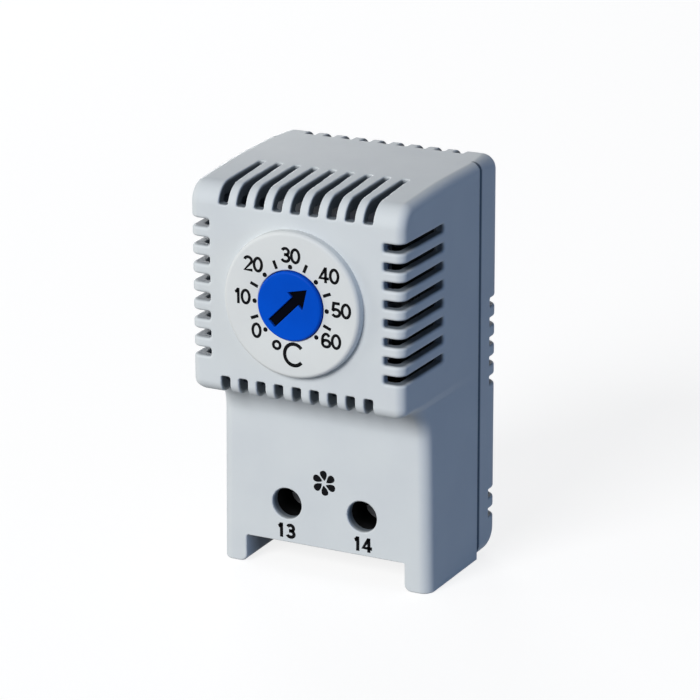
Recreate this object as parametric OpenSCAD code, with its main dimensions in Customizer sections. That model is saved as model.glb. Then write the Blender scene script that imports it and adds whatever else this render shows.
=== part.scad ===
// Small snap-action bimetal thermostat for a 35 mm top-hat rail.
// X runs to the right, Y runs back from the dial, Z runs up from the feet of the housing.

/* [Housing] */
// Width of the housing at the seam between cover and base
body_w = 34.2; // [31.2:0.5:38.2]
// Width of the cover at its front face, less than at the seam by the moulding draft
front_w = 33.3; // [30:0.1:34]
// Height of the housing
body_h = 60; // [56:1:68]
// Depth of the front cover, from the dial face to the seam
cover_d = 24; // [23:0.25:27]
// Depth of the rear base, from the seam to its back
base_d = 6.6; // [4.8:0.1:7.5]
// Wall thickness of the cover and the base
wall = 1.7; // [1.2:0.1:2]
// Thickness of the base's back wall
back_wall = 2; // [1.4:0.1:2.4]
// Height of the dial head, from its underside to the top
head_h = 31.4; // [29:0.1:34]
// How far the terminal face stands back from the dial face
step_back = 8.2; // [7:0.1:9.5]
// Radius of the upright front corners and of the top side edges
corner_r = 2.3; // [1.8:0.1:3.5]
// Radius of the edge between the dial face and the top
top_edge_r = 3; // [2:0.1:4]
// Radius of the lower front edge of the head
head_edge_r = 1.8; // [1:0.1:2.2]
// Radius of the hollow fillet under the head
underside_r = 2.4; // [1:0.1:3]
// Radius of the base's rear edges
back_edge_r = 2.2; // [1:0.1:2.6]
// Radius of the base's lower rear edge
heel_r = 3.5; // [2:0.1:4]
// Width of the cable gap between the two feet
notch_w = 26.2; // [22:0.2:27]
// Height of the cable gap between the two feet
notch_h = 4.2; // [3:0.1:4.6]

/* [Vents] */
// Width of the slots over the top edge
top_slot_w = 1.5; // [1:0.1:1.8]
// Spacing of the slots over the top edge and of those under the head
top_slot_pitch = 2.81; // [2.6:0.01:3]
// How far the top slots come down the dial face
top_slot_drop = 3.7; // [2:0.1:4.5]
// How far back the top slots reach
top_slot_reach = 11.5; // [6:0.5:14]
// Width of the slots under the head
under_slot_w = 1.45; // [1:0.05:1.8]
// How far the lower slots come up the dial face
under_slot_rise = 2.7; // [1.8:0.1:3.2]
// How far back the lower slots reach
under_slot_reach = 5.6; // [3:0.1:6.5]
// Width of the side slots
side_slot_w = 1.2; // [0.8:0.1:1.6]
// Spacing of the side slots
side_slot_pitch = 2.7; // [2.4:0.01:2.7]
// How far the side slots come round onto the dial face
side_slot_face = 3.1; // [2:0.1:3.2]
// How far back the side slots reach
side_slot_reach = 12.5; // [6:0.5:14]
// Width of the grip notches on the base's rear edges
grip_w = 1.3; // [0.8:0.1:1.6]
// Spacing of the grip notches
grip_pitch = 2.96; // [2.4:0.01:3]
// Depth of the grip notches
grip_depth = 1.25; // [0.8:0.05:1.3]
// How far forward the grip notches reach from the back
grip_reach = 2.6; // [1.6:0.1:3.2]

/* [Dial] */
// Distance from the top of the housing down to the dial's centre
dial_drop = 16.3; // [15.8:0.1:16.8]
// Radius of the scale disc's face
disc_r = 10.2; // [9.4:0.1:10.4]
// Radius of the scale disc's foot, past its rounded edge
disc_foot_r = 10.7; // [10.5:0.1:11.6]
// How far the scale disc stands out of the dial face
disc_t = 1.4; // [0.6:0.1:1.8]
// Radius of the knob
knob_r = 5; // [4.5:0.1:5.2]
// How far the knob's face stands out of the dial face
knob_proud = 1.9; // [1.4:0.1:2.6]
// Length of the pointer arrow
arrow_l = 7.8; // [5:0.1:8.2]
// Width of the arrow's shaft
arrow_shaft_w = 1.4; // [0.8:0.1:1.6]
// Width of the arrow's head
arrow_head_w = 3.2; // [2:0.1:3.4]
// Length of the arrow's head
arrow_head_l = 2.6; // [1.8:0.1:3]
// Depth of the arrow's recess in the knob
arrow_depth = 1; // [0.6:0.1:1.4]

/* [Setting mechanism] */
// Radius over the thread of the setting spindle
spindle_r = 1.95; // [1.5:0.05:2.2]
// Width across the spindle's square head
square_w = 2.9; // [2.2:0.1:3]
// Thickness of the steel switch frame
frame_t = 1; // [0.8:0.1:1.2]
// Width of the steel switch frame
frame_w = 18; // [17:0.5:20]
// Thickness of the setting lever
lever_t = 0.8; // [0.6:0.1:1]
// Width of the setting lever
lever_w = 11; // [10:0.5:12]
// Radius of the lever's pivot pin
pin_r = 0.8; // [0.6:0.05:0.9]
// Thickness of the bimetal strip
bimetal_t = 0.6; // [0.4:0.1:0.7]
// Width of the bimetal strip
bimetal_w = 7; // [5:0.5:8]

/* [Contacts] */
// Thickness of the contact blade
blade_t = 0.3; // [0.2:0.05:0.3]
// Width of the contact blade
blade_w = 4.4; // [3:0.1:5]
// Radius of the moving contact
contact_r = 1.2; // [0.8:0.1:1.4]
// Height of the moving contact and of the fixed contact
contact_h = 0.9; // [0.6:0.1:1]
// Open gap between the two contacts
contact_gap = 0.4; // [0.4:0.05:0.8]

/* [Terminals] */
// Distance between the two terminal screws
terminal_pitch = 12.1; // [11.5:0.1:12.5]
// Height of the terminal screws
terminal_z = 10.2; // [9.6:0.1:10.6]
// Radius of the driver holes in the cover
driver_r = 2.35; // [1.8:0.05:2.5]
// Radius of the terminal screws' heads
screw_head_r = 2; // [1.6:0.1:2.1]
// Height of the terminal screws' heads
screw_head_h = 1.6; // [1.2:0.1:1.8]
// Radius over the thread of the terminal screws
screw_r = 1.45; // [1.2:0.05:1.6]
// Width of a clamp cage
cage_w = 7.2; // [6.6:0.1:7.6]
// Height of a clamp cage
cage_h = 6.6; // [5:0.1:7]
// Depth of a clamp cage, front to back
cage_d = 7.1; // [6.8:0.1:7.2]
// Thickness of a cage's threaded front wall
cage_nut_t = 1.4; // [1.1:0.1:1.5]
// Thickness of a cage's other walls
cage_t = 0.7; // [0.5:0.1:0.8]
// Thickness of the conductor bars
bar_t = 1; // [0.7:0.1:1.2]
// Width of the conductor bars
bar_w = 5; // [4:0.1:5.4]

/* [Rail clip] */
// Width of the rail across its flanges
rail_w = 35; // [35:0.1:35.4]
// Thickness of the rail's flange
rail_t = 1; // [0.9:0.1:1.1]
// Height of the rail's centre line
rail_z = 31; // [30.6:0.1:31.4]
// Width of the clip's foot
foot_w = 20; // [19:0.5:22]
// Thickness of the foot behind the base
foot_t = 4.5; // [4.4:0.1:5.5]
// How far the two hooks reach over the rail's flange
hook_bite = 2.2; // [1.4:0.1:2.4]
// Thickness of the hooks behind the rail's flange
hook_t = 2.8; // [2:0.1:3.2]
// Width of the sliding latch
latch_w = 10; // [9:0.5:11]
// Thickness of the sliding latch
latch_t = 1.8; // [1.4:0.1:1.8]

/* [Hidden] */
// Every piece's name.

// Resolution, one overrun for every cut, and the gaps between pieces.
half_turn = 180;
round_fn = 48;
arc_steps = 8;
over = 1;
seat_gap = 0.1;
fit_gap = 0.05;
free_gap = 0.3;

// Numbers of repeated features.
top_slot_n = 9;
side_slot_n = 8;
top_grip_n = 9;
side_grip_n = 5;
heel_grip_n = 2;

// Housing, measured back from the dial face.
seam_y = cover_d;
back_y = cover_d + base_d;
inner_back_y = back_y - back_wall;
head_z = body_h - head_h;
dial_z = body_h - dial_drop;
terminal_face_y = step_back;
terminal_inner_y = step_back + wall;
side_slot_lift = 0.27;
side_grip_z = 32.4;
heel_grip_z = 7.5;

// Snap tabs of the cover, in windows of the base.
tab_w = 8;
tab_t = 1.05;
tab_l = 3;
tab_z = 44;
barb = 0.6;
barb_l = 1;

// Knob, spindle and bush.
disc_skirt_t = 1;
disc_bore_r = knob_r + seat_gap;
disc_skirt_r = disc_bore_r + disc_skirt_t;
knob_flange_t = 0.9;
knob_flange_r = knob_r + disc_skirt_t + 0.8 * disc_skirt_t;
knob_boss_r = 3.2;
knob_flange_y = wall + free_gap;
socket_y = knob_flange_y + knob_flange_t - free_gap;
frame_y = 11;
bush_flange_t = 1;
bush_flange_r = 4.5;
bush_r = 3;
bush_back_l = 2;
bush_flange_y = frame_y - seat_gap - bush_flange_t;
knob_back_y = bush_flange_y - free_gap;
inlay_sink = 0.3;

// Heights of the mechanism, as shares of the span from the terminal carrier's top to the dial's centre.
carrier_top_z = 17;
pivot_share = 0.813;
lever_foot_share = 0.625;
blade_top_share = 0.642;
button_share = 0.555;
bimetal_tip_share = 0.51;
blade_hinge_share = 0.375;
blade_foot_share = 0.262;
function span_z(share) = carrier_top_z + share * (dial_z - carrier_top_z);

// Frame, lever and bimetal strip.
lever_y = 17.3;
pivot_y = lever_y + 2.9;
pivot_z = span_z(pivot_share);
lever_back_y = lever_y + lever_t;
lever_rise = 8.3;
lever_top_z = dial_z + lever_rise;
lever_foot_z = span_z(lever_foot_share);
lever_ear_h = 3.6;
pin_back = 1.4;
frame_rise = 11.8;
frame_top_z = dial_z + frame_rise;
frame_foot_z = lever_foot_z - seat_gap - seat_gap;
frame_back_y = inner_back_y - seat_gap;
frame_back_h = 9.5;
frame_ear_w = 15;
frame_ear_h = 4.8;
pin_head_r = 1.3;
pin_head_t = 0.55;
frame_screw_x = 6;
frame_screw_rise = 6.3;
frame_screw_z = dial_z + frame_screw_rise;
fix_screw_r = 1.2;
fix_head_r = 2;
fix_head_h = 1.3;
fix_slot_w = 0.6;
fix_slot_depth = 0.6;
lever_spring_z = lever_foot_z + 1.6;
lever_spring_r = 1.4;
lever_spring_wire_r = 0.2;
spring_turns = 5;
spring_sides = 6;
spring_steps = 14;
rivet_x = 2;
rivet_drop = 1.5;
rivet_r = 0.7;
rivet_head_r = 1.15;
rivet_head_t = 0.45;
button_r = 1.1;
button_stem_r = 0.5;
button_l = 0.6;
button_z = span_z(button_share);
bimetal_tip_z = span_z(bimetal_tip_share);

// Contacts.
bimetal_back_y = lever_back_y + bimetal_t;
blade_y = bimetal_back_y + button_l + 1;
blade_back_y = blade_y + blade_t;
blade_foot_z = span_z(blade_foot_share);
blade_hinge_z = span_z(blade_hinge_share);
blade_top_z = span_z(blade_top_share);
contact_z = blade_top_z - contact_r;
blade_rivet_x = 1.1;
blade_rivet_z = blade_foot_z + 1.2;
blade_rivet_r = 0.5;
blade_rivet_head_r = 0.85;
blade_rivet_play = 0.15;
fixed_bar_y = blade_back_y + contact_h + contact_gap + contact_h;
magnet_w = 3;
magnet_h = 2;
magnet_t = 1.1;

// Terminals.
carrier_w = 23;
carrier_y = terminal_inner_y + seat_gap;
driver_tube_l = 3.6;
driver_tube_r = driver_r + free_gap + free_gap;
carrier_foot_z = notch_h + 2 * seat_gap;
head_seat_y = carrier_y + driver_tube_l + screw_head_h;
pocket_y = head_seat_y + 1.1;
cage_travel = 1.6;
cage_y = pocket_y + seat_gap + cage_travel;
pocket_w = cage_w + 2 * seat_gap;
pocket_top_z = terminal_z + cage_h / 2 + 2 * seat_gap;
pocket_back_y = cage_y + cage_d + free_gap;
bar_y = blade_back_y;
bar_foot_z = terminal_z - cage_h / 2;
bar_jog_z = carrier_top_z + 1;
bar_tab_back = 2.4;
driver_slot_w = 0.6;
driver_slot_depth = 0.8;

// Rail clip.
foot_foot_z = 8;
foot_top_z = 53;
foot_back_y = back_y + foot_t;
hook_y = foot_back_y + rail_t + free_gap;
hook_back_y = hook_y + hook_t;
rail_top_z = rail_z + rail_w / 2;
rail_foot_z = rail_z - rail_w / 2;
hook_gap = 0.2;
latch_skin = 1;
latch_y = back_y + latch_skin + hook_gap;
latch_pocket_back_y = latch_y + latch_t + hook_gap;
latch_foot_z = 4;
latch_top_z = 21;
latch_pocket_top_z = 29;
latch_neck_w = 6;
latch_neck_z = 9;
latch_slot_w = 4;
latch_slot_h = 1.5;
latch_spring_r = 0.75;
latch_spring_wire_r = 0.15;
latch_spring_turns = 9;
foot_screw_x = foot_w / 2 - fix_head_r;
foot_screw_z = 22;
fix_screw_l = foot_t - 1.5;

// The part's middle, front to back, lies over the origin.
middle_y = (hook_back_y - knob_proud) / 2;

// Points of a polygon whose corners are rounded, each to its own radius.
function unit(v) = v / norm(v);
function corner(a, b, c, r) =
    r <= 0 ? [b] :
    let (
        u = unit(a - b),
        w = unit(c - b),
        half = acos(u * w) / 2,
        centre = b + unit(u + w) * r / sin(half),
        from = b + u * r / tan(half) - centre,
        to = b + w * r / tan(half) - centre,
        start = atan2(from[1], from[0]),
        turn = (atan2(to[1], to[0]) - start + 3 * half_turn) % (2 * half_turn) - half_turn
    )
    [for (i = [0:arc_steps]) centre + r * [cos(start + turn * i / arc_steps), sin(start + turn * i / arc_steps)]];
function rounded(points, radii) =
    let (n = len(points))
    [for (i = [0:n - 1]) each corner(points[(i + n - 1) % n], points[i], points[(i + 1) % n], radii[i])];

// Moves a piece, drawn back from the dial face, to its place over the origin.
module placed() {
    translate([0, -middle_y, 0]) children();
}

// A box given by its lowest and highest corner.
module box(low, high) {
    translate(low) cube(high - low);
}

// A round bar along Y, from one depth to another.
module bar_y(r, from_y, to_y, x = 0, z = 0) {
    translate([x, from_y, z]) rotate([-90, 0, 0]) cylinder(r = r, h = to_y - from_y, $fn = round_fn);
}

// A round bar along X between two ends.
module bar_x(r, from_x, to_x, y, z) {
    translate([from_x, y, z]) rotate([0, 90, 0]) cylinder(r = r, h = to_x - from_x, $fn = round_fn);
}

// Extrusions of outlines in the side, front and plan views.
module side_view(points, width) {
    translate([-width / 2, 0, 0]) rotate([90, 0, 90]) linear_extrude(width) polygon(points);
}
module front_view(points, from_y, to_y) {
    translate([0, to_y, 0]) rotate([90, 0, 0]) linear_extrude(to_y - from_y) polygon(points);
}
module plan_view(points, from_z, to_z) {
    translate([0, 0, from_z]) linear_extrude(to_z - from_z) polygon(points);
}

// Copies along X or Z, centred.
module row_x(n, pitch) {
    for (i = [0:n - 1]) translate([(i - (n - 1) / 2) * pitch, 0, 0]) children();
}
module row_z(n, pitch) {
    for (i = [0:n - 1]) translate([0, 0, (i - (n - 1) / 2) * pitch]) children();
}
module both_sides() {
    children();
    mirror([1, 0, 0]) children();
}

// The cover's outline, drawn inwards by a wall where asked.
function half_seam(inset) = body_w / 2 - inset;
function half_at(y, inset) = (front_w + (body_w - front_w) * y / cover_d) / 2 - inset;
function shrunk(r, inset) = max(r - inset, r / 4);
function cover_plan(front_y, inset, end_y) = rounded(
    [[-half_at(front_y, inset), front_y + inset], [half_at(front_y, inset), front_y + inset],
     [half_at(end_y, inset), end_y], [-half_at(end_y, inset), end_y]],
    [shrunk(corner_r, inset), shrunk(corner_r, inset), 0, 0]);
function cover_side(inset, end_y) = rounded(
    [[inset, head_z + inset], [inset, body_h - inset], [end_y, body_h - inset],
     [end_y, inset > 0 ? notch_h : 0], [terminal_face_y + inset, inset > 0 ? notch_h : 0],
     [terminal_face_y + inset, head_z + inset]],
    [shrunk(head_edge_r, inset), shrunk(top_edge_r, inset), 0, 0, 0, underside_r]);
function housing_front(inset) = rounded(
    [[-half_seam(inset), 0], [half_seam(inset), 0],
     [half_seam(inset), body_h - inset], [-half_seam(inset), body_h - inset]],
    [0, 0, shrunk(corner_r, inset), shrunk(corner_r, inset)]);

module cover_form(inset, end_y) {
    intersection() {
        side_view(cover_side(inset, end_y), body_w);
        front_view(housing_front(inset), -over, end_y);
        union() {
            plan_view(cover_plan(0, inset, end_y), head_z - underside_r, body_h);
            plan_view(cover_plan(terminal_face_y, inset, end_y), 0, body_h);
        }
    }
}

module top_slots() {
    row_x(top_slot_n, top_slot_pitch)
        box([-top_slot_w / 2, -over, body_h - top_slot_drop], [top_slot_w / 2, top_slot_reach, body_h + over]);
}

module under_slots() {
    row_x(top_slot_n, top_slot_pitch)
        box([-under_slot_w / 2, -over, head_z - over], [under_slot_w / 2, under_slot_reach, head_z + under_slot_rise]);
}

module side_slots() {
    translate([0, 0, dial_z + side_slot_lift])
        row_z(side_slot_n, side_slot_pitch)
            both_sides()
                box([half_at(0, side_slot_face), -over, -side_slot_w / 2],
                    [body_w / 2 + over, side_slot_reach, side_slot_w / 2]);
}

module front_cover() {
    color("gainsboro") placed() {
        difference() {
            cover_form(0, seam_y);
            difference() {
                cover_form(wall, seam_y + over);
                // roots of the snap tabs
                both_sides()
                    box([half_seam(wall) - seat_gap - tab_t, seam_y - tab_l, tab_z - tab_w / 2],
                        [body_w / 2, seam_y + over, tab_z + tab_w / 2]);
            }
            top_slots();
            under_slots();
            side_slots();
            bar_y(disc_skirt_r + fit_gap, -over, wall + over, 0, dial_z);
            both_sides() bar_y(driver_r, terminal_face_y - over, terminal_inner_y + over, terminal_pitch / 2, terminal_z);
            box([-notch_w / 2, terminal_face_y - over, -over], [notch_w / 2, seam_y + over, notch_h]);
        }
        both_sides() {
            box([half_seam(wall) - seat_gap - tab_t, seam_y - tab_l, tab_z - tab_w / 2],
                [half_seam(wall) - seat_gap, seam_y + tab_l, tab_z + tab_w / 2]);
            box([half_seam(wall) - seat_gap - tab_t, seam_y + tab_l - barb_l, tab_z - tab_w / 2],
                [half_seam(wall) + barb, seam_y + tab_l, tab_z + tab_w / 2]);
        }
    }
}

// The base's outline, with its rear edges rounded.
function base_plan(inset, end_y) = rounded(
    [[-half_seam(inset), seam_y - (inset > 0 ? over : 0)], [half_seam(inset), seam_y - (inset > 0 ? over : 0)],
     [half_seam(inset), end_y], [-half_seam(inset), end_y]],
    [0, 0, shrunk(back_edge_r, inset), shrunk(back_edge_r, inset)]);
function base_side(inset, end_y) = rounded(
    [[seam_y - (inset > 0 ? over : 0), inset], [seam_y - (inset > 0 ? over : 0), body_h - inset],
     [end_y, body_h - inset], [end_y, inset]],
    [0, 0, shrunk(back_edge_r, inset), shrunk(heel_r, inset)]);

module base_form(inset, end_y) {
    intersection() {
        side_view(base_side(inset, end_y), body_w);
        front_view(housing_front(inset), seam_y - over, back_y + over);
        plan_view(base_plan(inset, end_y), 0, body_h);
    }
}

module grip_notches() {
    row_x(top_grip_n, grip_pitch)
        box([-grip_w / 2, back_y - grip_reach, body_h - grip_depth], [grip_w / 2, back_y + over, body_h + over]);
    both_sides() {
        translate([0, 0, side_grip_z]) row_z(side_grip_n, grip_pitch)
            box([body_w / 2 - grip_depth, back_y - grip_reach, -grip_w / 2], [body_w / 2 + over, back_y + over, grip_w / 2]);
        translate([0, 0, heel_grip_z]) row_z(heel_grip_n, grip_pitch)
            box([body_w / 2 - grip_depth, back_y - grip_reach, -grip_w / 2], [body_w / 2 + over, back_y + over, grip_w / 2]);
    }
}

module rear_base() {
    color("gainsboro") placed() difference() {
        base_form(0, back_y);
        base_form(wall, inner_back_y);
        grip_notches();
        // windows for the snap tabs
        both_sides()
            box([half_seam(wall) - over, seam_y + tab_l - barb_l - seat_gap, tab_z - tab_w / 2 - seat_gap],
                [half_seam(wall) + barb + seat_gap, seam_y + tab_l + seat_gap, tab_z + tab_w / 2 + seat_gap]);
        both_sides() bar_y(fix_screw_r + seat_gap, inner_back_y - over, back_y + over, frame_screw_x, frame_screw_z);
        both_sides() bar_y(fix_screw_r + seat_gap, inner_back_y - over, back_y + over, foot_screw_x, foot_screw_z);
    }
}

// The scale disc's rim, which swells out of the dial face and rounds over into the disc's face.
function disc_edge() = let (reach = disc_foot_r - disc_r)
    [for (i = [0:arc_steps]) let (share = i / arc_steps)
        [disc_foot_r - reach * share, disc_t * (1 - cos(180 * share)) / 2]];

module scale_disc() {
    color("whitesmoke") placed() translate([0, 0, dial_z]) rotate([90, 0, 0]) {
        rotate_extrude($fn = 2 * round_fn)
            polygon(concat([[disc_bore_r, 0]], disc_edge(), [[disc_bore_r, disc_t]]));
        translate([0, 0, -wall]) difference() {
            cylinder(r = disc_skirt_r, h = wall, $fn = round_fn);
            translate([0, 0, -over]) cylinder(r = disc_bore_r, h = wall + 2 * over, $fn = round_fn);
        }
    }
}

// The arrow's outline, pointing up, with a margin taken off all round.
module arrow_shape(margin) {
    half_l = arrow_l / 2 - margin;
    neck = arrow_l / 2 - arrow_head_l + margin;
    polygon([
        [-arrow_shaft_w / 2 + margin, -half_l], [arrow_shaft_w / 2 - margin, -half_l],
        [arrow_shaft_w / 2 - margin, neck], [arrow_head_w / 2 - margin, neck],
        [0, half_l],
        [-arrow_head_w / 2 + margin, neck], [-arrow_shaft_w / 2 + margin, neck]
    ]);
}

// The arrow as a solid, turned to the 40 degree mark.
arrow_angle = 45;
module arrow_solid(from_y, to_y, margin) {
    translate([0, to_y, dial_z]) rotate([90, 0, 0])
        rotate(-arrow_angle) linear_extrude(to_y - from_y) arrow_shape(margin);
}

module adjustment_knob() {
    color("royalblue") placed() difference() {
        union() {
            bar_y(knob_r, -knob_proud, knob_flange_y, 0, dial_z);
            bar_y(knob_flange_r, knob_flange_y, knob_flange_y + knob_flange_t, 0, dial_z);
            bar_y(knob_boss_r, knob_flange_y, knob_back_y, 0, dial_z);
        }
        arrow_solid(-knob_proud - over, -knob_proud + arrow_depth, 0);
        box([-square_w / 2 - fit_gap, socket_y, dial_z - square_w / 2 - fit_gap],
            [square_w / 2 + fit_gap, knob_back_y + over, dial_z + square_w / 2 + fit_gap]);
    }
}

module pointer_inlay() {
    color("black") placed()
        arrow_solid(-knob_proud + inlay_sink, -knob_proud + arrow_depth, fit_gap);
}

module setting_spindle() {
    color("goldenrod") placed() {
        box([-square_w / 2, socket_y + free_gap * 2, dial_z - square_w / 2], [square_w / 2, knob_back_y, dial_z + square_w / 2]);
        bar_y(spindle_r, knob_back_y, lever_y - seat_gap, 0, dial_z);
    }
}

module spindle_bush() {
    color("goldenrod") placed() difference() {
        union() {
            bar_y(bush_flange_r, bush_flange_y, bush_flange_y + bush_flange_t, 0, dial_z);
            bar_y(bush_r, bush_flange_y, frame_y + frame_t + bush_back_l, 0, dial_z);
        }
        bar_y(spindle_r + fit_gap, bush_flange_y - over, frame_y + frame_t + bush_back_l + over, 0, dial_z);
    }
}

module switch_frame() {
    color("silver") placed() difference() {
        union() {
            box([-frame_w / 2, frame_y, frame_foot_z], [frame_w / 2, frame_y + frame_t, frame_top_z]);
            box([-frame_w / 2, frame_y, frame_top_z - frame_t], [frame_w / 2, frame_back_y, frame_top_z]);
            box([-frame_w / 2, frame_back_y - frame_t, frame_top_z - frame_back_h], [frame_w / 2, frame_back_y, frame_top_z]);
            both_sides()
                box([frame_ear_w / 2 - frame_t / 2, frame_y, pivot_z - frame_ear_h / 2],
                    [frame_ear_w / 2 + frame_t / 2, pivot_y + pin_back + pin_r, pivot_z + frame_ear_h / 2]);
        }
        bar_y(bush_r + fit_gap, frame_y - over, frame_y + frame_t + over, 0, dial_z);
        bar_x(pin_r + fit_gap, -frame_w, frame_w, pivot_y, pivot_z);
        both_sides() bar_y(fix_screw_r + seat_gap, frame_back_y - frame_t - over, frame_back_y + over, frame_screw_x, frame_screw_z);
    }
}

// A slotted screw along Y whose head lies in front of the given seat.
module slotted_screw(shank_r, shank_l, head_r, head_h, slot_w, slot_depth, x, y, z) {
    difference() {
        union() {
            bar_y(head_r, y - head_h, y, x, z);
            bar_y(shank_r, y, y + shank_l, x, z);
        }
        box([x - head_r - over, y - head_h - over, z - slot_w / 2], [x + head_r + over, y - head_h + slot_depth, z + slot_w / 2]);
    }
}

module fixing_screws(x, y, z) {
    both_sides()
        slotted_screw(fix_screw_r, back_y + fix_screw_l - y, fix_head_r, fix_head_h, fix_slot_w, fix_slot_depth, x, y, z);
}

module frame_screws() {
    color("gray") placed() fixing_screws(frame_screw_x, frame_back_y - frame_t, frame_screw_z);
}

module foot_screws() {
    color("gray") placed() fixing_screws(foot_screw_x, inner_back_y, foot_screw_z);
}

module setting_lever() {
    color("silver") placed() difference() {
        union() {
            box([-lever_w / 2, lever_y, lever_foot_z], [lever_w / 2, lever_back_y, lever_top_z]);
            both_sides()
                box([lever_w / 2 - lever_t, lever_y, pivot_z - lever_ear_h / 2],
                    [lever_w / 2, pivot_y + pin_back, pivot_z + lever_ear_h / 2]);
        }
        bar_x(pin_r + fit_gap, -lever_w, lever_w, pivot_y, pivot_z);
        both_sides() bar_y(rivet_r + seat_gap, lever_y - over, lever_back_y + over, rivet_x, lever_top_z - rivet_drop);
    }
}

module lever_pin() {
    color("gray") placed() {
        pin_l = frame_ear_w + frame_t + 2 * seat_gap;
        bar_x(pin_r, -pin_l / 2, pin_l / 2, pivot_y, pivot_z);
        both_sides() bar_x(pin_head_r, pin_l / 2, pin_l / 2 + pin_head_t, pivot_y, pivot_z);
    }
}

// A round wire coil along Z, one unbroken tube.
module coil(r, wire_r, turns, length) {
    rings = turns * spring_steps;
    rise = (length - 2 * wire_r) / rings;
    points = [for (i = [0:rings], j = [0:spring_sides - 1])
        let (q = 360 * i / spring_steps, s = 360 * j / spring_sides)
        [(r + wire_r * cos(s)) * cos(q), (r + wire_r * cos(s)) * sin(q), wire_r + rise * i + wire_r * sin(s)]];
    sides = [for (i = [0:rings - 1], j = [0:spring_sides - 1])
        let (a = i * spring_sides + j, b = i * spring_sides + (j + 1) % spring_sides)
        each [[a, b, b + spring_sides], [a, b + spring_sides, a + spring_sides]]];
    first = [for (j = [1:spring_sides - 2]) [0, j + 1, j]];
    last = [for (j = [1:spring_sides - 2]) [rings * spring_sides, rings * spring_sides + j, rings * spring_sides + j + 1]];
    polyhedron(points, concat([for (f = sides) [f[2], f[1], f[0]]], [for (f = first) [f[2], f[1], f[0]]], [for (f = last) [f[2], f[1], f[0]]]));
}

module lever_spring() {
    color("silver") placed()
        translate([0, frame_y + frame_t + seat_gap, lever_spring_z]) rotate([-90, 0, 0])
            coil(lever_spring_r, lever_spring_wire_r, spring_turns, lever_y - frame_y - frame_t - 2 * seat_gap);
}

module bimetal_strip() {
    color("rosybrown") placed() difference() {
        box([-bimetal_w / 2, lever_back_y, bimetal_tip_z], [bimetal_w / 2, bimetal_back_y, lever_top_z]);
        both_sides() bar_y(rivet_r, lever_back_y - over, bimetal_back_y + over, rivet_x, lever_top_z - rivet_drop);
        bar_y(button_stem_r, lever_back_y - over, bimetal_back_y + over, 0, button_z);
    }
}

module bimetal_rivets() {
    color("gray") placed() both_sides() {
        bar_y(rivet_r, lever_y - seat_gap - rivet_head_t, bimetal_back_y + rivet_head_t, rivet_x, lever_top_z - rivet_drop);
        bar_y(rivet_head_r, lever_y - seat_gap - rivet_head_t, lever_y - seat_gap, rivet_x, lever_top_z - rivet_drop);
        bar_y(rivet_head_r, bimetal_back_y, bimetal_back_y + rivet_head_t, rivet_x, lever_top_z - rivet_drop);
    }
}

module push_button() {
    color("ivory") placed() {
        bar_y(button_stem_r, lever_back_y - button_l, bimetal_back_y + button_l, 0, button_z);
        bar_y(button_r, bimetal_back_y, bimetal_back_y + button_l, 0, button_z);
        bar_y(button_r, lever_back_y - button_l, lever_back_y, 0, button_z);
    }
}

module contact_blade() {
    color("orange") placed() difference() {
        box([-blade_w / 2, blade_y, blade_foot_z], [blade_w / 2, blade_back_y, blade_top_z]);
        both_sides() bar_y(blade_rivet_r, blade_y - over, blade_back_y + over, blade_rivet_x, blade_rivet_z);
    }
}

module blade_rivets() {
    color("gray") placed() both_sides() {
        back = bar_y + bar_t + blade_rivet_play;
        bar_y(blade_rivet_r, blade_y - rivet_head_t, back + rivet_head_t, blade_rivet_x, blade_rivet_z);
        bar_y(blade_rivet_head_r, blade_y - rivet_head_t, blade_y, blade_rivet_x, blade_rivet_z);
        bar_y(blade_rivet_head_r, back, back + rivet_head_t, blade_rivet_x, blade_rivet_z);
    }
}

module moving_contact() {
    color("white") placed() bar_y(contact_r, blade_back_y, blade_back_y + contact_h, 0, contact_z);
}

module fixed_contact() {
    color("white") placed() bar_y(contact_r + seat_gap, fixed_bar_y - contact_h, fixed_bar_y, 0, contact_z);
}

module snap_magnet() {
    color("dimgray") placed()
        box([-magnet_w / 2, fixed_bar_y - magnet_t, contact_z + contact_r + free_gap],
            [magnet_w / 2, fixed_bar_y, contact_z + contact_r + free_gap + magnet_h]);
}

module conductor_bar_13() {
    color("darkorange") placed() {
        outer = -terminal_pitch / 2 - bar_w / 2;
        inner = -terminal_pitch / 2 + bar_w / 2;
        top = contact_z + contact_r + free_gap + magnet_h + free_gap;
        box([outer, bar_y, bar_foot_z], [inner, bar_y + bar_t, bar_jog_z + bar_t]);
        box([outer, bar_y, bar_jog_z], [inner, fixed_bar_y + bar_t, bar_jog_z + bar_t]);
        box([outer, fixed_bar_y, bar_jog_z], [inner, fixed_bar_y + bar_t, top]);
        box([outer, fixed_bar_y, contact_z - bar_tab_back], [bar_tab_back, fixed_bar_y + bar_t, top]);
    }
}

module conductor_bar_14() {
    color("darkorange") placed() difference() {
        union() {
            box([terminal_pitch / 2 - bar_w / 2, bar_y, bar_foot_z], [terminal_pitch / 2 + bar_w / 2, bar_y + bar_t, blade_hinge_z]);
            box([-bar_tab_back, bar_y, blade_foot_z - bar_t], [terminal_pitch / 2 + bar_w / 2, bar_y + bar_t, blade_hinge_z]);
        }
        both_sides() bar_y(blade_rivet_r + blade_rivet_play, bar_y - over, bar_y + bar_t + over, blade_rivet_x, blade_rivet_z);
    }
}

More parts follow.
